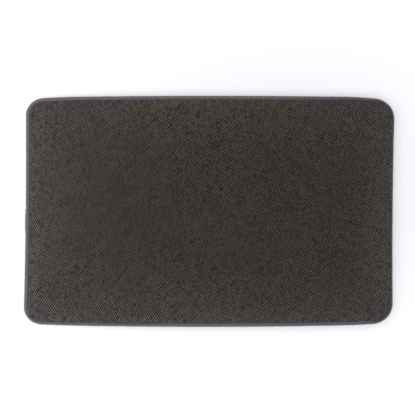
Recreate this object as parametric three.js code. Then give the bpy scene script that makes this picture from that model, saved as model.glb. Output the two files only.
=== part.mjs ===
// Bath mat, 800 x 500 mm: a knitted face, a foam core and a non-slip backing, trimmed together,
// bound round the edge with a folded tape and closed with one line of lockstitch.
//
// Millimetres, +Z up. The origin is the middle of the underside. +X runs along the long side.

import * as THREE from 'three';

// The finished mat
const LENGTH = 800;
const WIDTH = 500;
const THICKNESS = 12; // over most of the mat
const EDGE_THICKNESS = 8.4; // over the bound edge
const CORNER_RADIUS = { left: 37.5, right: 44 };

// How far each side strays outward from a straight cut: at its left or lower end, in the middle,
// and at its right or upper end.
const STRAY = {
  left: [0.4, -4.6, -4.8],
  right: [-3.3, -3.8, 0.9],
  lower: [-6.8, -1.4, -7.3],
  upper: [-4, -0.1, -3.9],
};

// How far the upper and lower sides turn in before their corners, over a last share of their
// half length.
const DROOP = { upper: { left: 2.2, right: 3.6 }, lower: { left: 1.2, right: 2 } };
const DROOP_START = 0.75;
const DROOP_END = 0.97;

// The layers
const FACE_THICKNESS = 2.4;
const FACE_PINCHED = 1.3; // where the tape grips it
const BACKING_THICKNESS = 1;
const CLEARANCE = 0.3; // between neighbouring pieces
const TRIM_INSET = 2; // from the mat's outermost edge to the layers' cut edge

// The binding tape, folded round the edge
const TAPE_THICKNESS = 0.8;
const TAPE_REACH = 7.9; // from the outermost edge to the tape's two selvedges
const TAPE_ENDS_Y = 5; // where the tape's ends meet, on the left side
const FOLD_RADIUS = EDGE_THICKNESS / 2;

// The seam
const SEAM_INSET = 6.6;
const SEAM_DEPTH = 1; // how far the thread pulls the tape in
const SEAM_SPREAD = 0.8;
const THREAD_RADIUS = 0.25;
const THREAD_HEIGHT = 0.35; // the thread's middle, in from the tape's flat surface

// The soft rise of the mat inside the tape
const RISE_WIDTH = 28;
const RISE_POWER = 2.2;
const BACKING_DROP = 1.8; // the width over which the backing comes down to the floor

// Divisions
const CORNER_STEPS = 5;
const SIDE_STEPS = 5;
const RISE_STEPS = 5;
const FOLD_STEPS = 8;
const THREAD_SIDES = 8;

// Insets from the outermost edge: where the tape grips the layers, and where they rise inside it.
// The steps of the rise crowd together at its steep start.
const SEAM_DIP = [SEAM_INSET - SEAM_SPREAD, SEAM_INSET, SEAM_INSET + SEAM_SPREAD];
const GRIP_END = TAPE_REACH + CLEARANCE;
const GRIPPED = [TRIM_INSET, FOLD_RADIUS, ...SEAM_DIP, GRIP_END];
const RISE_START = GRIP_END + 0.2;
const RISE_CROWDING = 1.5;
const RISING = Array.from({ length: RISE_STEPS + 1 }, (_, i) => {
  return RISE_START + RISE_WIDTH * (i / RISE_STEPS) ** RISE_CROWDING;
});

// ---- The outline -----------------------------------------------------------------------------

// A parabola through three values, at t = -1, 0 and 1.
function throughThree([low, middle, high], t) {
  return middle * (1 - t * t) + (low * (t * t - t) + high * (t * t + t)) / 2;
}

// Moves a point of the straight cut to its place on the real, slightly uneven mat.
function strayed(point) {
  const x = (2 * point.x) / LENGTH;
  const y = (2 * point.y) / WIDTH;
  const right = (throughThree(STRAY.right, y) * (1 + x)) / 2;
  const left = (throughThree(STRAY.left, y) * (1 - x)) / 2;
  const upper = (throughThree(STRAY.upper, x) * (1 + y)) / 2;
  const lower = (throughThree(STRAY.lower, x) * (1 - y)) / 2;
  const end = x < 0 ? 'left' : 'right';
  const share = THREE.MathUtils.smoothstep(Math.abs(x), DROOP_START, DROOP_END);
  const droop = (share * (DROOP.upper[end] * (1 + y) - DROOP.lower[end] * (1 - y))) / 2;
  return new THREE.Vector2(point.x + right - left, point.y + upper - lower - droop);
}

// The straight cut as an anticlockwise line of points, a given distance in from the edge. It
// starts where the tape's ends meet and stops just short of closing.
function cutLine(inset) {
  const x = LENGTH / 2 - inset;
  const y = WIDTH / 2 - inset;
  const corners = [
    { sideX: -1, sideY: -1, radius: CORNER_RADIUS.left - inset },
    { sideX: 1, sideY: -1, radius: CORNER_RADIUS.right - inset },
    { sideX: 1, sideY: 1, radius: CORNER_RADIUS.right - inset },
    { sideX: -1, sideY: 1, radius: CORNER_RADIUS.left - inset },
  ];
  const line = [new THREE.Vector2(-x, TAPE_ENDS_Y)];
  const last = new THREE.Vector2(-x, TAPE_ENDS_Y + CLEARANCE);
  corners.forEach(({ sideX, sideY, radius }, i) => {
    const turn = Math.PI + (i * Math.PI) / 2;
    const middle = [sideX * (x - radius), sideY * (y - radius)];
    const arc = new THREE.EllipseCurve(...middle, radius, radius, turn, turn + Math.PI / 2);
    const corner = arc.getPoints(CORNER_STEPS);
    const side = new THREE.LineCurve(line.at(-1), corner[0]).getPoints(SIDE_STEPS);
    line.push(...side.slice(1, -1), ...corner);
  });
  line.push(...new THREE.LineCurve(line.at(-1), last).getPoints(SIDE_STEPS).slice(1));
  return line;
}

// The uneven sides leave the middle of the mat's box a little off the straight cut's middle.
const CENTRE = new THREE.Box2().setFromPoints(cutLine(0).map(strayed)).getCenter(new THREE.Vector2());

// A row of points right round the mat, at one inset and one height.
function row([inset, height]) {
  return cutLine(inset).map((point) => {
    const { x, y } = strayed(point).sub(CENTRE);
    return new THREE.Vector3(x, y, height);
  });
}

// ---- Closed surfaces from rows ---------------------------------------------------------------

// Fills a flat contour with triangles that turn the same way as the contour does.
function fill(contour) {
  const sense = Math.sign(THREE.ShapeUtils.area(contour));
  return THREE.ShapeUtils.triangulateShape(contour, []).map((triangle) => {
    const turned = Math.sign(THREE.ShapeUtils.area(triangle.map((i) => contour[i]))) !== sense;
    return turned ? [...triangle].reverse() : triangle;
  });
}

// Joins neighbouring rows with two triangles for each pair of steps.
function skin(rows, closesAround, closesAcross) {
  const count = rows[0].length;
  const triangles = [];
  for (let r = 0; r < rows.length - (closesAcross ? 0 : 1); r += 1) {
    for (let c = 0; c < count - (closesAround ? 0 : 1); c += 1) {
      const next = ((r + 1) % rows.length) * count;
      const here = r * count;
      const ahead = (c + 1) % count;
      triangles.push([here + c, here + ahead, next + ahead], [here + c, next + ahead, next + c]);
    }
  }
  return triangles;
}

function solid(rows, triangles) {
  const geometry = new THREE.BufferGeometry().setFromPoints(rows.flat());
  geometry.setIndex(triangles.flat());
  geometry.computeVertexNormals();
  return geometry;
}

// A layer: its section runs out along its underside, up its cut edge and back in along its top.
function layer(section) {
  const rows = section.map(row);
  const lastRow = rows[0].length * (rows.length - 1);
  const flat = (points) => points.map(({ x, y }) => new THREE.Vector2(x, y));
  const under = fill(flat(rows[0])).map((triangle) => [...triangle].reverse());
  const over = fill(flat(rows.at(-1))).map((triangle) => triangle.map((i) => i + lastRow));
  return solid(rows, [...skin(rows, true, false), ...under, ...over]);
}

// A thread of the seam: its section is round, and it runs right round the mat.
function threadLoop(height) {
  const section = Array.from({ length: THREAD_SIDES }, (_, i) => {
    const angle = (2 * Math.PI * i) / THREAD_SIDES;
    return [SEAM_INSET - THREAD_RADIUS * Math.cos(angle), height + THREAD_RADIUS * Math.sin(angle)];
  });
  const rows = section.map(row);
  return solid(rows, skin(rows, true, true));
}

// A strip: its section is a closed loop, and it has two cut ends.
function strip(section) {
  const rows = section.map(row);
  const count = rows[0].length;
  const end = fill(section.map(([inset, height]) => new THREE.Vector2(-inset, height)));
  const first = end.map((triangle) => triangle.map((i) => i * count));
  const last = end.map((triangle) => triangle.map((i) => i * count + count - 1).reverse());
  return solid(rows, [...skin(rows, false, true), ...first, ...last]);
}

// ---- Sections: pairs of inset and height -----------------------------------------------------

// How far the stitching pulls the surface in at one inset.
function dip(inset) {
  return SEAM_DEPTH * Math.exp(-(((inset - SEAM_INSET) / SEAM_SPREAD) ** 2));
}

// Half the height inside the tape: a flat stretch under its legs and a half round at the fold.
function halfInside(inset) {
  const radius = FOLD_RADIUS - TAPE_THICKNESS - CLEARANCE;
  const beyond = Math.max(FOLD_RADIUS - inset, 0);
  return Math.sqrt(radius ** 2 - beyond ** 2) - dip(inset);
}

// The top of the stacked layers.
function stackTop(inset) {
  if (inset <= GRIP_END) return FOLD_RADIUS + halfInside(inset);
  const part = Math.min((inset - RISE_START) / RISE_WIDTH, 1);
  return THICKNESS - (THICKNESS - EDGE_THICKNESS) * (1 - part) ** RISE_POWER;
}

// The underside of the stacked layers: on the floor inside the tape, and above it within.
function stackUnderside(inset) {
  return inset <= GRIP_END ? FOLD_RADIUS - halfInside(inset) : 0;
}

const backingTop = (inset) => stackUnderside(inset) + BACKING_THICKNESS;
const faceUnderside = (inset) => stackTop(inset) - (inset <= GRIP_END ? FACE_PINCHED : FACE_THICKNESS);

// Pairs every inset with its height on one surface.
const along = (insets, surface) => insets.map((inset) => [inset, surface(inset)]);
const outward = (insets) => [...insets].reverse();

function faceSection() {
  const insets = [...GRIPPED, ...RISING];
  return [...along(outward(insets), faceUnderside), ...along(insets, stackTop)];
}

function foamSection() {
  const under = [...GRIPPED, GRIP_END + BACKING_DROP];
  return [
    ...along(outward(under), (inset) => backingTop(inset) + CLEARANCE),
    ...along([...GRIPPED, ...RISING], (inset) => faceUnderside(inset) - CLEARANCE),
  ];
}

function backingSection() {
  const insets = [...GRIPPED, GRIP_END + BACKING_DROP];
  return [...along(outward(insets), stackUnderside), ...along(insets, backingTop)];
}

// One side of the tape: out along the lower leg, round the fold and in along the upper leg.
function tapeSide(depth) {
  const leg = [TAPE_REACH, ...outward(SEAM_DIP)];
  const half = FOLD_RADIUS - depth;
  const lower = along(leg, (inset) => FOLD_RADIUS - half + dip(inset));
  const upper = along(outward(leg), (inset) => FOLD_RADIUS + half - dip(inset));
  const fold = new THREE.EllipseCurve(0, FOLD_RADIUS, half, half, -Math.PI / 2, Math.PI / 2)
    .getPoints(FOLD_STEPS)
    .map(({ x, y }) => [FOLD_RADIUS - x, y]);
  return [...lower, ...fold, ...upper];
}

const tapeSection = () => [...tapeSide(0), ...tapeSide(TAPE_THICKNESS).reverse()];

// ---- The mat ---------------------------------------------------------------------------------

const knit = new THREE.MeshStandardMaterial({ color: 0x3b3733, roughness: 0.95, metalness: 0 });
const foam = new THREE.MeshStandardMaterial({ color: 0xd9d4c8, roughness: 0.9, metalness: 0 });
const rubberised = new THREE.MeshStandardMaterial({ color: 0x3a393b, roughness: 0.8, metalness: 0 });
const webbing = new THREE.MeshStandardMaterial({ color: 0x635e64, roughness: 0.85, metalness: 0 });
const thread = new THREE.MeshStandardMaterial({ color: 0x565158, roughness: 0.6, metalness: 0 });

function piece(name, geometry, material) {
  const mesh = new THREE.Mesh(geometry, material);
  mesh.name = name;
  return mesh;
}

const bathMat = new THREE.Group();
bathMat.add(
  piece('nonslip_backing', layer(backingSection()), rubberised),
  piece('foam_core', layer(foamSection()), foam),
  piece('face_fabric', layer(faceSection()), knit),
  piece('edge_binding', strip(tapeSection()), webbing),
  piece('needle_thread', threadLoop(EDGE_THICKNESS - THREAD_HEIGHT), thread),
  piece('bobbin_thread', threadLoop(THREAD_HEIGHT), thread),
);

export default bathMat;
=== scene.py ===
"""The looks of the bath mat: every layer, the folded tape and each stitch, in metres."""

import math

import bpy
import numpy as np
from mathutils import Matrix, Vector
from mathutils.geometry import delaunay_2d_cdt


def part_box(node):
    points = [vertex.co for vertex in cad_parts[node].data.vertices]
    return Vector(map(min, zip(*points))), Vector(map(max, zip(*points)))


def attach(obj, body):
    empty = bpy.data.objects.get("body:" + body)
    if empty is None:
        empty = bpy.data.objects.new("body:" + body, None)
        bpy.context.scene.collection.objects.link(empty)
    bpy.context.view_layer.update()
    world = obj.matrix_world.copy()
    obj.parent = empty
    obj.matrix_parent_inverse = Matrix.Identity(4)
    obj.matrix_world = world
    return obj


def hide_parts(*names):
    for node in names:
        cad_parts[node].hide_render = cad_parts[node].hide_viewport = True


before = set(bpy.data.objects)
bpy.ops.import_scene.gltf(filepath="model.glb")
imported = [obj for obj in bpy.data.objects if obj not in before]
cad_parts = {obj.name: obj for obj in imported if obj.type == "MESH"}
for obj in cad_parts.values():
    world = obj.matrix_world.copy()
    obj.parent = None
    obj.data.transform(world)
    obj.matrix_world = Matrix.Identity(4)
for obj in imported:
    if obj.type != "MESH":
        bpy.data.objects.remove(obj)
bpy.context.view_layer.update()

MM = 0.001

# ---- Dimensions ------------------------------------------------------------------------------

# The straight cut, with its corners' radii on the left and on the right
LENGTH = 800 * MM
WIDTH = 500 * MM
CORNER_LEFT = 37.5 * MM
CORNER_RIGHT = 44 * MM

# How far each side strays outward from the straight cut: at its left or lower end, in the
# middle, and at its right or upper end
STRAY_LEFT = (0.4 * MM, -4.6 * MM, -4.8 * MM)
STRAY_RIGHT = (-3.3 * MM, -3.8 * MM, 0.9 * MM)
STRAY_LOWER = (-6.8 * MM, -1.4 * MM, -7.3 * MM)
STRAY_UPPER = (-4 * MM, -0.1 * MM, -3.9 * MM)

# How far the upper and the lower side bend inward at their left and right ends, and where that
# begins and ends, as a share of the way from the mat's middle to its end
DROOP_UPPER = (2.2 * MM, 3.6 * MM)
DROOP_LOWER = (1.2 * MM, 2 * MM)
DROOP_START = 0.75
DROOP_END = 0.97

# Heights that the frame holds
MAT_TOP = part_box("face_fabric")[1].z
EDGE_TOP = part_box("edge_binding")[1].z
FOLD_RADIUS = EDGE_TOP / 2

# The layers, trimmed inside the tape's fold, and the soft rise of the face beside the tape. A
# layer's area is a share of the trimmed rectangle: round corners and uneven sides take some of it
# away, and the bend of the layer's edge into the tape's grip gives a little back.
TRIM_INSET = 2 * MM
FACE_THICKNESS = 2.4 * MM
FACE_PINCHED = 1.3 * MM
BACKING_THICKNESS = 0.6 * MM
LAYER_GAP = 0.1 * MM
RISE_START = 8.4 * MM
RISE_WIDTH = 28 * MM
RISE_POWER = 2.2

# The grip dots under the backing
DOT_PITCH = 12 * MM
DOT_RADIUS = 2.1 * MM
DOT_HEIGHT = 0.5 * MM
DOT_ROUNDING = 0.15 * MM
DOT_MARGIN = 13 * MM

# The folded tape, whose section is the fold's arc between two flat legs. It starts on the left
# side of the mat, and its last stretch lies under its first.
TAPE_THICKNESS = 0.8 * MM
TAPE_REACH = 7.9 * MM
HALF_FOLD = FOLD_RADIUS * math.pi / 2
TAPE_LEG = TAPE_REACH - FOLD_RADIUS
TAPE_CLEARANCE = 0.3 * MM
TAPE_START_Y = 5 * MM
TAPE_OVERLAP = 60 * MM
TAPE_BULGE = 1.2 * MM

# How far the tape has slipped round the edge, and the x from which and to which each slip grows
RIGHT_SLIP = 4.1 * MM
RIGHT_SLIP_FROM = LENGTH / 2 - 55 * MM
RIGHT_SLIP_TO = LENGTH / 2 - 22 * MM
UPPER_SLIP = 1.9 * MM
UPPER_SLIP_FROM = 220 * MM
UPPER_SLIP_TO = 350 * MM
LOWER_SLIP = 1.4 * MM
LOWER_SLIP_FROM = -60 * MM
LOWER_SLIP_TO = -150 * MM

# The seam and its thread
SEAM_INSET = 6.6 * MM
SEAM_SPREAD = 0.8 * MM
SEAM_DEPTH = 0.45 * MM
HOLE_DEPTH = 0.5 * MM
STITCHES = 720
THREAD_RADIUS = 0.24 * MM

# The knit's diamond mesh. Its diamonds are wider than this to the right of CHANGE_X and narrower
# to the left of it, by DIAMOND_CHANGE far away on both sides. The whole mesh is then moved left.
DIAMOND_WIDTH = 5.57 * MM
DIAMOND_HEIGHT = 8.1 * MM
DIAMOND_CHANGE = 0.31 * MM
CHANGE_X = -60 * MM
CHANGE_LENGTH = 120 * MM
KNIT_SHIFT = 14 * MM
KNIT_STEPS = 4  # grid steps in half a diamond
KNIT_DEPTH = 1.2 * MM
KNIT_PRESSED = 0.15  # the share of its depth that is left under the tape

# How heavy the knit's strands are, where 1 is a full strand: on the whole, how much each varies
# along its way as a share of its weight, and the limits
STRAND_WEIGHT = 0.8
STRAND_SPREAD = 0.7
STRAND_LIGHTEST = 0.15
STRAND_HEAVIEST = 1.1

# Insets of the lines on which the plain surfaces are built: under the tape, over the rise, and
# past the tape on the underside
UNDER_TAPE = [3.4 * MM, 4.2 * MM, 5.2 * MM, 5.9 * MM, 6.6 * MM, 7.4 * MM]
OVER_RISE = [9 * MM, 12 * MM, 16 * MM, 22 * MM, 29 * MM, 36 * MM]
PAST_TAPE_BELOW = [8.4 * MM, 9.4 * MM, 12 * MM]

rng = np.random.default_rng(11)


# ---- The outline -----------------------------------------------------------------------------


def smooth(low, high, value):
    """0 at low and before it, 1 at high and past it, and an S-curve between."""
    t = np.clip((value - low) / (high - low), 0, 1)
    return t * t * (3 - 2 * t)


def bell(offset, width):
    """1 at an offset of 0, easing to 0 over a width on both sides."""
    return np.exp(-((offset / width) ** 2))


def through_three(values, t):
    """A parabola through three values, at t = -1, 0 and 1."""
    low, middle, high = values
    return middle * (1 - t * t) + (low * (t * t - t) + high * (t * t + t)) / 2


def strayed(points):
    """Moves points of the straight cut to their places on the real, slightly uneven mat."""
    x, y = 2 * points[..., 0] / LENGTH, 2 * points[..., 1] / WIDTH
    left, right = (1 - x) / 2, (1 + x) / 2
    lower, upper = (1 - y) / 2, (1 + y) / 2
    out_x = through_three(STRAY_RIGHT, y) * right - through_three(STRAY_LEFT, y) * left
    out_y = through_three(STRAY_UPPER, x) * upper - through_three(STRAY_LOWER, x) * lower
    droop = np.where(x < 0, *DROOP_UPPER) * upper - np.where(x < 0, *DROOP_LOWER) * lower
    near_end = smooth(DROOP_START, DROOP_END, np.abs(x))
    return points + np.stack([out_x, out_y - near_end * droop], -1)


def straight_edge(arc_points=40, side_points=200):
    """The straight cut's edge: points and outward normals, close together and anticlockwise,
    from the start of the tape, with the distance of each along the seam."""
    half = np.array([LENGTH, WIDTH]) / 2
    start = np.array([-LENGTH / 2, TAPE_START_Y])
    here = start
    points, normals = [], []
    radii = (CORNER_LEFT, CORNER_RIGHT, CORNER_RIGHT, CORNER_LEFT)
    for i, (corner, radius) in enumerate(zip([(-1, -1), (1, -1), (1, 1), (-1, 1)], radii)):
        middle = np.array(corner) * (half - radius)
        angles = math.pi * (1 + i / 2 + np.linspace(0, 0.5, arc_points))
        arc = np.stack([np.cos(angles), np.sin(angles)], -1)
        side = np.linspace(here, middle + radius * arc[0], side_points)[:-1]
        points += [side, middle + radius * arc]
        normals += [np.repeat(arc[:1], len(side), axis=0), arc]
        here = points[-1][-1]
    last = np.linspace(here, start, side_points)[1:]
    points = np.concatenate([*points, last])
    normals = np.concatenate([*normals, np.repeat(arc[-1:], len(last), axis=0)])
    steps = np.linalg.norm(np.diff(points - SEAM_INSET * normals, axis=0), axis=1)
    return points, normals, np.concatenate([[0], np.cumsum(steps)])


EDGE_POINTS, EDGE_NORMALS, EDGE_ALONG = straight_edge()
ROUND = EDGE_ALONG[-1]  # the length of the seam
uneven_edge = strayed(EDGE_POINTS)
CENTRE = (uneven_edge.min(0) + uneven_edge.max(0)) / 2


def on_edge(along, inset):
    """Straight-cut points at distances along the seam and insets from the edge."""
    at = np.mod(along, ROUND)
    point = np.stack([np.interp(at, EDGE_ALONG, EDGE_POINTS[:, k]) for k in (0, 1)], -1)
    normal = np.stack([np.interp(at, EDGE_ALONG, EDGE_NORMALS[:, k]) for k in (0, 1)], -1)
    return point - normal * np.asarray(inset)[..., None]


def in_space(points, height):
    """Straight-cut points and heights as points of the row frame."""
    plan = strayed(points) - CENTRE
    return np.concatenate([plan, np.broadcast_to(height, plan.shape[:-1])[..., None]], -1)


def inset_of(points):
    """How far straight-cut points lie inside the edge."""
    radius = np.where(points[:, 0] < 0, CORNER_LEFT, CORNER_RIGHT)
    dx = np.abs(points[:, 0]) - (LENGTH / 2 - radius)
    dy = np.abs(points[:, 1]) - (WIDTH / 2 - radius)
    beyond = np.hypot(np.maximum(dx, 0), np.maximum(dy, 0))
    return radius - beyond - np.minimum(np.maximum(dx, dy), 0)


# ---- Surfaces of the layers, as heights at straight-cut points -------------------------------


def slip(points):
    """How far the tape has slipped round the edge, so that more of it lies below: far on the
    right side, and a little on the right part of the upper side and the left part of the lower."""
    x, y = points[..., 0], points[..., 1]
    upper = UPPER_SLIP * smooth(UPPER_SLIP_FROM, UPPER_SLIP_TO, x) * smooth(0, WIDTH / 2, y)
    near_lower = smooth(65 * MM - WIDTH / 2, 10 * MM - WIDTH / 2, y)
    lower = LOWER_SLIP * smooth(LOWER_SLIP_FROM, LOWER_SLIP_TO, x) * near_lower
    little = upper + lower
    return little + (RIGHT_SLIP - little) * smooth(RIGHT_SLIP_FROM, RIGHT_SLIP_TO, x)


def doubled(points):
    """1 where the tape lies double on the left side, and 0 elsewhere."""
    middle = TAPE_START_Y - TAPE_OVERLAP / 2
    beyond = np.abs(points[..., 1] - middle) - TAPE_OVERLAP / 2
    at_left = points[..., 0] < -LENGTH / 2 + RISE_START
    return at_left * (1 - smooth(2 * MM, 9 * MM, beyond))


def half_inside(points):
    """Half the height inside the folded tape, pulled in along the seam."""
    inset = inset_of(points)
    radius = FOLD_RADIUS - TAPE_CLEARANCE - TAPE_THICKNESS * (1 + doubled(points))
    beyond = np.clip(FOLD_RADIUS - inset, 0, radius)
    pulled = (SEAM_DEPTH + HOLE_DEPTH) * bell(inset - SEAM_INSET + slip(points), SEAM_SPREAD)
    return np.sqrt(radius**2 - beyond**2) - pulled


def past_tape(points, begin, end):
    """0 under the tape and 1 clear of it, easing between two distances past its upper rim."""
    return smooth(TAPE_REACH + begin, TAPE_REACH + end, inset_of(points) + slip(points))


def stack_top(points):
    """The top of the face, without its mesh: gripped by the tape, then risen."""
    gripped = FOLD_RADIUS + half_inside(points)
    part = np.clip((inset_of(points) + slip(points) - RISE_START) / RISE_WIDTH, 0, 1)
    risen = MAT_TOP - (MAT_TOP - EDGE_TOP) * (1 - part) ** RISE_POWER
    return gripped + (risen - gripped) * past_tape(points, -0.4 * MM, 1.4 * MM)


def stack_underside(points):
    """The underside of the backing: gripped by the tape, then flat on top of the grip dots."""
    gripped = FOLD_RADIUS - half_inside(points)
    end = TAPE_REACH + slip(points)
    return gripped + (DOT_HEIGHT - gripped) * smooth(end, end + 2 * MM, inset_of(points))


def face_underside(points):
    """The underside of the face, which is thin under the tape and thick past it."""
    thicker = KNIT_DEPTH + FACE_THICKNESS - FACE_PINCHED
    return stack_top(points) - FACE_PINCHED - thicker * past_tape(points, -0.5 * MM, 3 * MM)


def backing_top(points):
    """The top of the backing, on which the foam lies."""
    return stack_underside(points) + BACKING_THICKNESS


# ---- Mesh building ---------------------------------------------------------------------------


def mesh_object(name, points, faces, material, sharp_degrees=None, **attributes):
    """A smooth mesh from points, arrays of faces, and values to store at its points."""
    mesh = bpy.data.meshes.new(name)
    corners = np.concatenate([f.ravel() for f in faces]).astype(np.int32)
    sizes = np.concatenate([np.full(len(f), f.shape[1]) for f in faces])
    mesh.vertices.add(len(points))
    mesh.vertices.foreach_set("co", np.asarray(points, np.float32).ravel())
    mesh.loops.add(len(corners))
    mesh.loops.foreach_set("vertex_index", corners)
    mesh.polygons.add(len(sizes))
    mesh.polygons.foreach_set("loop_start", (np.cumsum(sizes) - sizes).astype(np.int32))
    mesh.update(calc_edges=True)
    mesh.polygons.foreach_set("use_smooth", np.ones(len(sizes), bool))
    if sharp_degrees:
        mesh.set_sharp_from_angle(angle=math.radians(sharp_degrees))
    for label, values in attributes.items():
        values = np.asarray(values, np.float32)
        kind, slot = ("FLOAT", "value") if values.ndim == 1 else ("FLOAT_VECTOR", "vector")
        mesh.attributes.new(label, kind, "POINT").data.foreach_set(slot, values.ravel())
    mesh.materials.append(material)
    thing = bpy.data.objects.new(name, mesh)
    bpy.context.collection.objects.link(thing)
    return thing


def grid_faces(rows, columns, wrap_rows=False, wrap_columns=False):
    """Quads over a grid of points that is stored row by row."""
    index = np.arange(rows * columns).reshape(rows, columns)
    if wrap_rows:
        index = np.vstack([index, index[:1]])
    if wrap_columns:
        index = np.hstack([index, index[:, :1]])
    corners = [index[:-1, :-1], index[:-1, 1:], index[1:, 1:], index[1:, :-1]]
    return np.stack(corners, -1).reshape(-1, 4)


def filled(ring, inner):
    """Triangles over a closed ring of points and the points inside it, which face up."""
    points = [Vector(point) for point in np.concatenate([ring, inner]).tolist()]
    edges = [(i, (i + 1) % len(ring)) for i in range(len(ring))]
    inside_ring, tolerance = 1, 1e-7
    found = delaunay_2d_cdt(points, edges, [], inside_ring, tolerance)
    _, _, triangles, sources, _, _ = found
    source = np.array([same[0] for same in sources])
    return source[np.array(triangles)]


def rings(insets, count):
    """Points on lines that follow the edge, at some insets."""
    along = np.arange(count) * ROUND / count
    return np.concatenate([on_edge(along, np.full(count, inset)) for inset in insets])


def layer(name, material, top, underside, top_inner, under_inner, count=1200, **attributes):
    """A closed layer, trimmed at TRIM_INSET. top and underside give heights at straight-cut
    points, and the inner points are where each surface is sampled. The attributes hold values
    for the top's inner points."""
    ring = rings([TRIM_INSET], count)
    above, below = np.concatenate([ring, top_inner]), np.concatenate([ring, under_inner])
    points = np.concatenate([in_space(above, top(above)), in_space(below, underside(below))])
    over = filled(ring, top_inner)
    under = filled(ring, under_inner)[:, ::-1] + len(above)
    i = np.arange(count)
    ahead = (i + 1) % count
    wall = np.stack([len(above) + i, len(above) + ahead, ahead, i], -1)
    stored = {}
    for label, values in attributes.items():
        stored[label] = np.zeros((len(points), *values.shape[1:]))
        stored[label][count : len(above)] = values
    return mesh_object(name, points, [over, under, wall], material, sharp_degrees=50, **stored)


def plain_inner(insets, count=400, pitch=20 * MM):
    """Points over a plain surface: lines along the edge, under the tape and at some insets past
    it, and a loose grid in the middle."""
    x, y = np.mgrid[-LENGTH / 2 : LENGTH / 2 : pitch, -WIDTH / 2 : WIDTH / 2 : pitch]
    grid = np.stack([x.ravel(), y.ravel()], -1) + pitch / 2
    middle = grid[inset_of(grid) > insets[-1] + pitch / 3]
    return np.concatenate([rings(UNDER_TAPE + insets, count), middle])


# ---- Materials -------------------------------------------------------------------------------

WHITE = (1, 1, 1, 1)


class Nodes:
    """A material's node tree, built by short calls."""

    def __init__(self, name, **settings):
        self.material = bpy.data.materials.new(name)
        self.material.use_nodes = True
        self.tree = self.material.node_tree
        self.shader = self.tree.nodes["Principled BSDF"]
        for socket, value in settings.items():
            self.shader.inputs[socket.replace("_", " ")].default_value = value

    def put(self, value, socket):
        """Gives a socket a value, or links it to the output that the value is."""
        if isinstance(value, bpy.types.NodeSocket):
            self.tree.links.new(value, socket)
        else:
            socket.default_value = value

    def add(self, kind, inputs=(), **properties):
        made = self.tree.nodes.new("ShaderNode" + kind)
        for key, value in properties.items():
            setattr(made, key, value)
        for key, value in dict(inputs).items():
            self.put(value, made.inputs[key])
        return made

    def math(self, operation, a, b=0.0, clamp=False):
        return self.add("Math", {0: a, 1: b}, operation=operation, use_clamp=clamp).outputs[0]

    def product(self, a, b):
        return self.math("MULTIPLY", a, b)

    def wave(self, value, length):
        """A sine wave of a given length along a value."""
        return self.math("SINE", self.product(value, 2 * math.pi / length))

    def remap(self, value, low, high, to_low, to_high, curve="LINEAR"):
        """A value between low and high, stretched to lie between two others."""
        inputs = {
            "Value": value,
            "From Min": low,
            "From Max": high,
            "To Min": to_low,
            "To Max": to_high,
        }
        return self.add("MapRange", inputs, interpolation_type=curve).outputs["Result"]

    def attribute(self, name):
        """A single value that the mesh stores at its points."""
        return self.add("Attribute", attribute_name=name).outputs["Fac"]

    def attribute_parts(self, name):
        """The three parts of a vector that the mesh stores at its points."""
        vector = self.add("Attribute", attribute_name=name).outputs["Vector"]
        return self.add("SeparateXYZ", {0: vector}).outputs

    def place(self):
        return self.add("TexCoord").outputs["Object"]

    def noise(self, scale, detail, roughness=0.5):
        inputs = {"Vector": self.place(), "Scale": scale, "Detail": detail, "Roughness": roughness}
        return self.add("TexNoise", inputs).outputs["Fac"]

    def flecks(self, scale, detail, low, high, roughness=0.5):
        """A noise that lies mostly between two values."""
        return self.remap(self.noise(scale, detail, roughness), 0.3, 0.7, low, high)

    def mix(self, factor, a, b):
        made = self.add("Mix", data_type="RGBA")
        for socket, value in ((0, factor), (6, a), (7, b)):
            self.put(value, made.inputs[socket])
        return made.outputs[2]

    def scaled(self, colour, factor):
        """A colour made lighter or darker."""
        return self.add("VectorMath", {0: colour, "Scale": factor}, operation="SCALE").outputs[0]

    def tinted(self, colour, tint):
        """A colour multiplied by another."""
        return self.add("VectorMath", {0: colour, 1: tint}, operation="MULTIPLY").outputs[0]

    def colour(self, value):
        self.tree.links.new(value, self.shader.inputs["Base Color"])

    def bump(self, height, distance, strength):
        made = self.add("Bump", {"Height": height, "Distance": distance, "Strength": strength})
        self.tree.links.new(made.outputs["Normal"], self.shader.inputs["Normal"])


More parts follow.
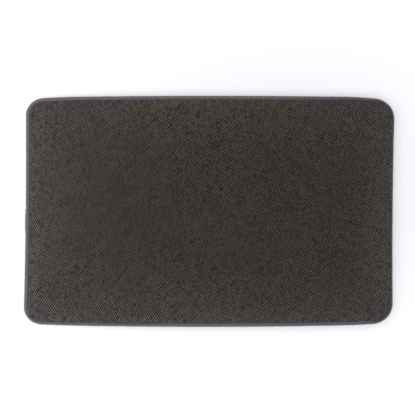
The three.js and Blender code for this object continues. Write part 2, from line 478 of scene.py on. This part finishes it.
def knit_material():
    """Dark warm grey yarn over near-black openings, flecked, with a chain of loops along it. Painted
    light makes it lighter on the left and along the sides, and a painted sheen cools it towards the
    sides; the openings' near-black is partly the knit's own dark inside and partly painted shade.
    """
    n = Nodes("knit", Roughness=0.9, Specular_IOR_Level=0.1)
    lattice = n.attribute_parts("lattice")
    cover = n.attribute_parts("cover")
    ease = n.remap(n.attribute("calm"), -2, 1, 0, 1)
    power = n.remap(ease, 0, 1, 7.1, 5.6)
    opening = 1.0
    for k in (0, 1):
        ridge = n.math("ABSOLUTE", n.wave(lattice[k], 2))
        strand = n.product(n.math("POWER", ridge, power), cover[k])
        opening = n.product(n.math("SUBTRACT", 1.0, strand, clamp=True), opening)
    opening = n.remap(opening, 0.05, 0.95, 0, 1, "SMOOTHSTEP")
    yarn = n.mix(ease, (0.0870, 0.0757, 0.0670, 1), (0.0918, 0.0759, 0.0635, 1))
    # The openings' near-black is partly the knit's own dark inside and partly painted shade in the
    # recesses.
    dark = n.mix(ease, (0.0064, 0.0055, 0.0048, 1), (0.0183, 0.0156, 0.0138, 1))
    # Painted sheen: a cool tint where the mesh stores it, towards the sides and corners.
    painted_sheen = n.mix(lattice[2], WHITE, (0.945, 0.967, 1.127, 1))
    colour = n.tinted(n.mix(opening, yarn, dark), painted_sheen)
    # Painted light: cover's third part makes the yarn lighter on the left and along the sides.
    n.colour(n.scaled(colour, n.product(n.flecks(150, 3, 0.7, 1.3, roughness=0.8), cover[2])))
    loops_per_strand = 5  # between two crossings
    loops = [n.wave(lattice[k], 1 / loops_per_strand) for k in (0, 1)]
    fuzz = n.product(n.noise(2500, 1), 0.6)
    n.bump(n.math("ADD", n.product(*loops), fuzz), 0.15 * MM, 0.6)
    return n.material


def tape_material():
    """Ribbed polyester tape, grey with a faint violet cast, darkened and cooled towards the right
    side by painted shade.
    """
    n = Nodes("tape", Roughness=0.75, Sheen_Weight=0.1, Sheen_Roughness=0.4, Specular_IOR_Level=0.35)
    along, across, painted_shade = n.attribute_parts("strip")
    ribs = n.wave(along, 1.1 * MM)
    threads = n.wave(across, 0.5 * MM)
    tone = n.mix(n.noise(30, 2), (0.112, 0.100, 0.113, 1), (0.128, 0.116, 0.130, 1))
    # Painted shade: the tape is made darker and cooler towards the right side.
    toned = n.tinted(tone, n.mix(painted_shade, WHITE, (0.77, 0.82, 0.86, 1)))
    shade = n.product(n.flecks(1200, 2, 0.9, 1.1), n.remap(ribs, -1, 1, 0.9, 1.05))
    n.colour(n.scaled(toned, shade))
    n.bump(n.math("ADD", ribs, n.product(threads, 0.4)), 0.12 * MM, 0.7)
    return n.material


def thread_material():
    """Twisted polyester thread with a slight sheen."""
    n = Nodes("thread", Roughness=0.55, Specular_IOR_Level=0.5)
    along, around, _ = n.attribute_parts("strip")
    twist = n.math("ADD", n.product(along, 2 * math.pi / (0.9 * MM)), around)
    plies = n.math("SINE", n.product(twist, 2.0))
    shade = n.product(n.remap(plies, -1, 1, 0.75, 1.1), n.flecks(60, 2, 0.93, 1.07))
    n.colour(n.scaled((0.165, 0.149, 0.166), shade))
    n.bump(plies, 0.05 * MM, 0.8)
    return n.material


def foam_material():
    """Open-cell foam, off-white, with fine pores."""
    n = Nodes("foam", Roughness=0.95)
    cells = n.add("TexVoronoi", {"Vector": n.place(), "Scale": 900.0}).outputs["Distance"]
    tone = n.mix(n.noise(12, 2), (0.66, 0.61, 0.50, 1), (0.72, 0.68, 0.58, 1))
    n.colour(n.scaled(tone, n.remap(cells, 0.1, 0.6, 0.8, 1.05)))
    n.bump(cells, 0.3 * MM, 0.6)
    return n.material


def backing_material():
    """A fine dark knit, matt, with narrow wales."""
    n = Nodes("backing", Roughness=0.9, Specular_IOR_Level=0.2)
    where = n.add("SeparateXYZ", {0: n.place()}).outputs
    weave = n.product(n.wave(where[0], 1.0 * MM), n.wave(where[1], 1.4 * MM))
    tone = n.mix(n.noise(20, 3), (0.034, 0.033, 0.035, 1), (0.042, 0.040, 0.043, 1))
    n.colour(n.scaled(tone, n.remap(weave, -1, 1, 0.8, 1.15)))
    n.bump(weave, 0.12 * MM, 0.7)
    return n.material


def dot_material():
    """Soft rubbery dots, a little shinier than the knit they sit on."""
    n = Nodes("grip", Roughness=0.5, Specular_IOR_Level=0.4)
    n.colour(n.mix(n.noise(300, 2), (0.030, 0.030, 0.032, 1), (0.045, 0.044, 0.047, 1)))
    n.bump(n.noise(1500, 2), 0.05 * MM, 0.5)
    return n.material


# ---- The camera, lights and floor ------------------------------------------------------------

CAMERA_X = -3.4 * MM
CAMERA_Y = 8.3 * MM
CAMERA_DISTANCE = 2.4
VIEW_WIDTH = 0.8954  # at the height of the tape's fold

FLOOR_COLOUR = (0.92, 0.911, 0.955, 1)
FLOOR_HALF_SIZE = 20.0
FLOOR_HEIGHT = -0.05 * MM
SKY_STRENGTH = 0.58
LIGHT_HEIGHT = 0.5


def make_camera():
    """Straight above the mat, with the mat a little below and right of the middle of the view."""
    data = bpy.data.cameras.new("camera")
    data.sensor_width = 36
    data.lens = data.sensor_width * CAMERA_DISTANCE / VIEW_WIDTH
    data.clip_end = 100
    camera = bpy.data.objects.new("camera", data)
    camera.location = (CAMERA_X, CAMERA_Y, FOLD_RADIUS + CAMERA_DISTANCE)
    bpy.context.collection.objects.link(camera)
    bpy.context.scene.camera = camera


def soft_box(name, x, y, size_x, size_y, power):
    """A light that shines straight down and that the camera doesn't see."""
    data = bpy.data.lights.new(name, "AREA")
    data.shape = "RECTANGLE"
    data.size, data.size_y = size_x, size_y
    data.energy = power
    lamp = bpy.data.objects.new(name, data)
    lamp.location = (x, y, LIGHT_HEIGHT)
    lamp.visible_camera = False
    bpy.context.collection.objects.link(lamp)


def make_studio():
    """A white floor under a plain white sky, and a soft box beyond each side of the mat, the
    strongest on the left."""
    n = Nodes("studio_floor", Roughness=0.9, Specular_IOR_Level=0.0)
    n.shader.inputs["Base Color"].default_value = FLOOR_COLOUR
    corners = np.array([(-1, -1), (1, -1), (1, 1), (-1, 1)]) * FLOOR_HALF_SIZE
    points = np.column_stack([corners, np.full(len(corners), FLOOR_HEIGHT)])
    floor = mesh_object("studio_floor", points, [np.array([[0, 1, 2, 3]])], n.material)
    world = bpy.data.worlds.new("studio")
    world.use_nodes = True
    sky = world.node_tree.nodes["Background"]
    sky.inputs["Color"].default_value = WHITE
    sky.inputs["Strength"].default_value = SKY_STRENGTH
    bpy.context.scene.world = world
    bpy.context.scene.view_settings.view_transform = "Standard"
    soft_box("left", -1.0, 0, 0.5, 1.4, 9.2)
    soft_box("front", 0, -0.85, 1.8, 0.5, 6.9)
    soft_box("back", 0, 0.88, 1.8, 0.5, 5.7)
    soft_box("right", 1.0, 0, 0.5, 1.4, 3.1)


# ---- The knitted face ------------------------------------------------------------------------


def waves(points, amplitude, shortest, longest, count):
    """A slow wander over the mat: a few sine waves in random directions."""
    total = np.zeros(len(points))
    for _ in range(count):
        turn = rng.uniform(0, 2 * math.pi)
        reach = rng.uniform(shortest, longest)
        phase = rng.uniform(0, 2 * math.pi)
        across = points @ [math.cos(turn), math.sin(turn)]
        total += np.sin(2 * math.pi * across / reach + phase)
    return amplitude * total / math.sqrt(count)


def wandering(points, amplitude, shortest, longest, count):
    """Points moved by slow waves, one set of them along x and another along y."""
    moves = [waves(points, amplitude, shortest, longest, count) for _ in range(2)]
    return points + np.stack(moves, -1)


def knit_points():
    """The knit's points, with their lattice coordinates. Openings lie at whole numbers of both,
    and a strand runs along every half."""
    per_diamond = 2 * KNIT_STEPS
    p_end = int(per_diamond * LENGTH / DIAMOND_WIDTH / 2) + per_diamond
    q_end = int(per_diamond * WIDTH / DIAMOND_HEIGHT / 2) + per_diamond
    p, q = np.mgrid[-p_end : p_end + 1, -q_end : q_end + 1]
    kept = (p + q) % 2 == 0
    across, up = p[kept] / per_diamond, q[kept] / per_diamond
    turn = (across * DIAMOND_WIDTH - CHANGE_X) / CHANGE_LENGTH
    log_cosh = np.logaddexp(turn, -turn) - math.log(2)
    stretch = DIAMOND_CHANGE / DIAMOND_WIDTH * CHANGE_LENGTH * log_cosh
    x = across * DIAMOND_WIDTH + stretch - KNIT_SHIFT
    points = np.stack([x, up * DIAMOND_HEIGHT], -1)
    points = wandering(points, 0.9 * MM, 50 * MM, 160 * MM, 7)
    points = wandering(points, 0.38 * MM, 10 * MM, 26 * MM, 14)
    inside = inset_of(points) > TRIM_INSET + 0.8 * MM
    return points[inside], (across + up)[inside], (across - up)[inside]


def along_strands(strand, along):
    """A random weight for every strand between two crossings, eased along each strand."""
    cells, to_side = 1024, 0.01
    table = rng.uniform(-1, 1, (cells, cells))
    j = np.floor(along).astype(int)
    part = along - j
    total = 0
    for side in (-to_side, to_side):
        i = np.floor(strand + side).astype(int)
        total = total + table[i, j] * (1 - part) + table[i, (j + 1) % cells] * part
    return 1 + STRAND_SPREAD * total / 2


def near_side(points, axis, side, width):
    """1 along one side of the mat, easing to 0 over a width inside it."""
    return bell((LENGTH, WIDTH)[axis] / 2 - side * points[:, axis], width)


def near_sides(points, left, right, lower, upper):
    """1 along all four sides, easing to 0 over a width inside each of them."""
    clear = 1
    for axis, side, width in ((0, -1, left), (0, 1, right), (1, -1, lower), (1, 1, upper)):
        clear = clear * (1 - near_side(points, axis, side, width))
    return 1 - clear


def near_corners(points, along_x, along_y):
    """1 in the mat's corners, easing to 0 over a width along each side."""
    ends = near_side(points, 0, -1, along_x) + near_side(points, 0, 1, along_x)
    return ends * (near_side(points, 1, -1, along_y) + near_side(points, 1, 1, along_y))


def strand_weights(points, s, t, rightward):
    """How heavy the rising and the falling strands are. Which of them are heavier drifts over the
    mat, and each strand varies from crossing to crossing."""
    across, up = 2 * points[:, 0] / LENGTH, 2 * points[:, 1] / WIDTH
    lean = 0.1 * rightward + (0.04 + 0.14 * np.maximum(across, 0)) * up
    lean = lean + waves(points, 0.07, 100 * MM, 260 * MM, 8)
    lean = lean + waves(points, 0.06, 25 * MM, 90 * MM, 14)
    rising = (STRAND_WEIGHT + lean) * along_strands(s, t)
    falling = (STRAND_WEIGHT - lean) * along_strands(t, s)
    return [weight.clip(STRAND_LIGHTEST, STRAND_HEAVIEST) for weight in (rising, falling)]


def knit_surface(points, s, t, rising, falling):
    """Heights of the knit: strands at the top of the stack, and openings as deep as KNIT_DEPTH
    between them, shallower under the tape."""
    one, other = rising * np.sin(math.pi * s) ** 4, falling * np.sin(math.pi * t) ** 4
    opening = (1 - one) * (1 - other)
    free = past_tape(points, -0.6 * MM, 2.5 * MM)
    depth = KNIT_DEPTH * (KNIT_PRESSED + (1 - KNIT_PRESSED) * free)
    slow = waves(points, 0.1 * MM, 25 * MM, 90 * MM, 12)
    return stack_top(points) + slow * free - depth * opening


def knit_tones(points, rightward):
    """How much painted light, how much painted sheen and how calm the knit looks: painted light that
    makes it lighter on the left and along the sides and darker to the right, and a little lighter
    where the mesh is crisp; a cool painted sheen towards the sides and corners; and calm where the
    contrast of its mesh is low."""
    x, y = points.T
    border = near_sides(points, left=38 * MM, right=55 * MM, lower=20 * MM, upper=12 * MM)
    wide_border = near_sides(points, left=130 * MM, right=70 * MM, lower=85 * MM, upper=85 * MM)
    # Painted sheen: a cool tint along the sides and into the corners.
    painted_sheen = 1 - (1 - border) * (1 - near_corners(points, along_x=190 * MM, along_y=55 * MM))
    crisp = bell(x + 150 * MM, 110 * MM) * bell(y, 130 * MM)
    # Painted light: the yarn is made lighter on the left and along the sides, and darker to the
    # right.
    painted_light = (1.01 - 0.15 * rightward) * (1 + 0.27 * wide_border)
    painted_light = painted_light * (1 + 0.2 * border) * (1 + 0.035 * crisp)
    calm = rightward - 0.9 * crisp + waves(points, 0.2, 60 * MM, 250 * MM, 9)
    return painted_light, painted_sheen, calm


def make_face():
    """The knitted face: crossing strands over openings, which follow the rise of the layers."""
    points, s, t = knit_points()
    rightward = np.tanh(points[:, 0] / (150 * MM))
    rising, falling = strand_weights(points, s, t, rightward)
    surface = knit_surface(points, s, t, rising, falling)
    painted_light, painted_sheen, calm = knit_tones(points, rightward)

    def top(above):
        """Heights of the plain trimmed edge, then of the knit inside it."""
        return np.concatenate([stack_top(above[: -len(surface)]), surface])

    # cover's third part carries the painted light, and lattice's third part the painted sheen.
    face = layer(
        "face_knit", knit_material(), top, face_underside, points, plain_inner(OVER_RISE),
        cover=np.stack([rising, falling, painted_light], -1), lattice=np.stack([s, t, painted_sheen], -1), calm=calm,
    )
    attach(face, "root")
    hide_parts("face_fabric")
    return face


# ---- The layers under the face ---------------------------------------------------------------


def make_foam():
    """The foam sheet, which fills the space between the face and the backing."""
    inner = plain_inner(OVER_RISE)
    foam = layer(
        "foam_sheet", foam_material(), lambda at: face_underside(at) - LAYER_GAP,
        lambda at: backing_top(at) + LAYER_GAP, inner, inner, count=600,
    )
    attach(foam, "root")
    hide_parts("foam_core")
    return foam


def make_backing():
    """The thin knit under the foam, gripped by the tape at its edge."""
    inner = plain_inner(PAST_TAPE_BELOW)
    backing = layer(
        "backing_knit", backing_material(), backing_top, stack_underside, inner, inner, count=600
    )
    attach(backing, "root")
    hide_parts("nonslip_backing")
    return backing


def dot_centres():
    """Places of the dots, in staggered rows that stay clear of the tape."""
    columns, lines = int(LENGTH / DOT_PITCH / 2) + 1, int(WIDTH / DOT_PITCH / 2) + 1
    i, j = np.mgrid[-2 * columns : 2 * columns + 1, -2 * lines : 2 * lines + 1]
    kept = (i + j) % 2 == 0
    row_pitch = DOT_PITCH * math.sqrt(3) / 2
    centres = np.stack([i[kept] * DOT_PITCH / 2, j[kept] * row_pitch], -1)
    return centres[inset_of(centres) > DOT_MARGIN]


def make_dots():
    """Low round dots: each starts inside the backing and ends in a rounded foot on the floor."""
    centres = dot_centres()
    sides = 10
    turn = 2 * math.pi * np.arange(sides) / sides
    circle = DOT_RADIUS * np.stack([np.cos(turn), np.sin(turn)], -1)
    widths = np.array([1.0, 0.94, 0.6])
    heights = np.array([DOT_HEIGHT + DOT_ROUNDING, DOT_ROUNDING, 0.0])
    plan = centres[:, None, None] + widths[:, None, None] * circle
    tall = np.broadcast_to(heights[:, None], plan.shape[:-1])
    side = grid_faces(len(heights), sides, wrap_columns=True)[:, ::-1]
    base = np.arange(sides)[None]
    foot = base[:, ::-1] + (len(heights) - 1) * sides
    start = len(heights) * sides * np.arange(len(centres))[:, None, None]
    faces = [(start + part).reshape(-1, part.shape[1]) for part in (side, base, foot)]
    points = in_space(plan.reshape(-1, 2), tall.reshape(-1))
    dots = mesh_object("grip_dots", points, faces, dot_material(), sharp_degrees=60)
    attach(dots, "root")
    return dots


# ---- The tape and its threads ----------------------------------------------------------------


def tape_spots(slipped):
    """Places across the tape at every station along it, as distances from the fold's outermost
    line: lower leg, fold and upper leg, closer together at the seam and the selvedges."""
    from_selvedge = np.array([0, 0.06, 0.4, 0.75, 1.05, 1.3, 1.55, 1.85, 2.3]) * MM
    upper = TAPE_LEG + HALF_FOLD - from_selvedge
    spots = np.concatenate([-upper, np.linspace(-HALF_FOLD, HALF_FOLD, 15), upper[::-1]])
    return spots[None] - slipped[:, None]


def fold_surface(spots, seam, hole, depth):
    """Insets and heights over the folded tape, at a depth below its outside. It is pulled in
    along the seam, more at every needle hole, and its selvedges are rounded."""
    turn = np.clip(spots / FOLD_RADIUS, -math.pi / 2, math.pi / 2)
    straight = np.maximum(np.abs(spots) - HALF_FOLD, 0)
    inset = FOLD_RADIUS - (FOLD_RADIUS - depth) * np.cos(turn) + straight
    pulled = ((straight > 0) | (turn > 0)) * bell(inset - seam, 0.8 * SEAM_SPREAD)
    sunk = pulled * (SEAM_DEPTH + HOLE_DEPTH * hole)
    if depth == 0:
        sunk[:, [0, -1]] += 0.12 * MM
        sunk[:, [1, -2]] += 0.03 * MM
    height = FOLD_RADIUS + (FOLD_RADIUS - depth) * np.sin(turn) - sunk * np.sign(turn)
    return inset, height


def tape_wander(along):
    """A small uneven wander of the tape's fold."""
    wander = np.zeros(len(along))
    for times_round in (23, 41, 67, 97):
        wander += np.sin(2 * math.pi * times_round * along / ROUND + rng.uniform(0, 6))
    return 0.04 * MM * wander


def make_tape():
    """The folded tape, with a dip at every needle hole. It ends tucked under its own start, which
    bulges out there."""
    along = np.arange(0, ROUND + TAPE_OVERLAP, ROUND / STITCHES / 2)
    slipped = slip(on_edge(along, np.zeros(len(along))))
    spots = tape_spots(slipped)
    seam = (SEAM_INSET - slipped)[:, None]
    hole = np.cos(math.pi * along / ROUND * STITCHES)[:, None] ** 6  # 1 at every needle hole
    outside = fold_surface(spots, seam, hole, 0)
    inside = fold_surface(spots, seam, hole, TAPE_THICKNESS)
    inset, height = (np.hstack([a, b[:, ::-1]]) for a, b in zip(outside, inside))

    # Where the tape comes round again it shrinks to fit under its start, which bulges over it.
    squeeze = (TAPE_THICKNESS + 0.05 * MM) * smooth(ROUND - 7 * MM, ROUND - 1 * MM, along)
    bulge = TAPE_BULGE * (1 - smooth(TAPE_OVERLAP / 2, TAPE_OVERLAP + 5 * MM, along))
    bulge = bulge * (0.5 + 0.5 * smooth(0, 25 * MM, along))
    inward = (squeeze - bulge - tape_wander(along))[:, None]
    height = height + squeeze[:, None] * (1 - height / FOLD_RADIUS)
    inset = inset + (1 - inset / TAPE_REACH) * inward

    where = on_edge(np.broadcast_to(along[:, None], inset.shape), inset)
    points = in_space(where, height).reshape(-1, 3)
    across = np.concatenate([spots[0], spots[0, ::-1]]) - spots[0, 0]
    # Painted shade, growing from x = 80 mm to x = 300 mm towards the right side.
    painted_shade = smooth(80 * MM, 300 * MM, where[..., 0])
    strip = np.stack(np.broadcast_arrays(along[:, None], across[None], painted_shade), -1).reshape(-1, 3)
    around = len(across)
    skin = grid_faces(len(along), around, wrap_columns=True)
    first = np.arange(around)[None]
    last = first + (len(along) - 1) * around
    faces = [skin, first[:, ::-1], last]
    tape = mesh_object(
        "edge_tape", points, faces, tape_material(), sharp_degrees=70, strip=strip
    )
    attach(tape, "root")
    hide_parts("edge_binding")
    return tape


def make_thread(name, node, upper):
    """One thread of the lockstitch: along the tape for a stitch, then down a needle hole to the
    other thread and up again. Within a stitch, its line is given by the share of the stitch's
    length and by the lift off the tape."""
    share = np.array([0.0, 0.055, 0.075, 0.15, 0.3, 0.5, 0.7, 0.85, 0.925, 0.945])
    lift = np.array([-1.4, -1.1, -0.42, -0.1, 0.02, 0.07, 0.02, -0.1, -0.42, -1.1]) * MM
    along = ((np.arange(STITCHES)[:, None] + share) * ROUND / STITCHES).ravel()
    seam = SEAM_INSET - slip(on_edge(along, np.zeros(len(along))))
    beyond = np.clip(FOLD_RADIUS - seam, 0, None)
    tape_top = FOLD_RADIUS + np.sqrt(FOLD_RADIUS**2 - beyond**2)
    line = tape_top - SEAM_DEPTH + THREAD_RADIUS * 0.8 + np.tile(lift, STITCHES)

    step = np.mod(np.roll(along, -1) - np.roll(along, 1), ROUND)
    climb = np.roll(line, -1) - np.roll(line, 1)
    size = np.hypot(step, climb)
    sides = 6
    turn = 2 * math.pi * np.arange(sides) / sides
    out, up = THREAD_RADIUS * np.cos(turn), THREAD_RADIUS * np.sin(turn)
    at = along[:, None] - up * (climb / size)[:, None]
    height = line[:, None] + up * (step / size)[:, None]
    if not upper:
        height = EDGE_TOP - height
    points = in_space(on_edge(at, seam[:, None] - out), height).reshape(-1, 3)
    faces = grid_faces(len(along), sides, wrap_rows=True, wrap_columns=True)
    if not upper:
        faces = faces[:, ::-1]
    strip = np.stack(np.broadcast_arrays(along[:, None], turn[None], 0.0), -1).reshape(-1, 3)
    thread = mesh_object(name, points, [faces], thread_material(), strip=strip)
    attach(thread, "root")
    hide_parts(node)
    return thread


# ---- The whole mat ---------------------------------------------------------------------------

make_camera()
make_studio()
face = make_face()
foam = make_foam()
backing = make_backing()
dots = make_dots()
tape = make_tape()
needle = make_thread("needle_stitches", "needle_thread", True)
bobbin = make_thread("bobbin_stitches", "bobbin_thread", False)
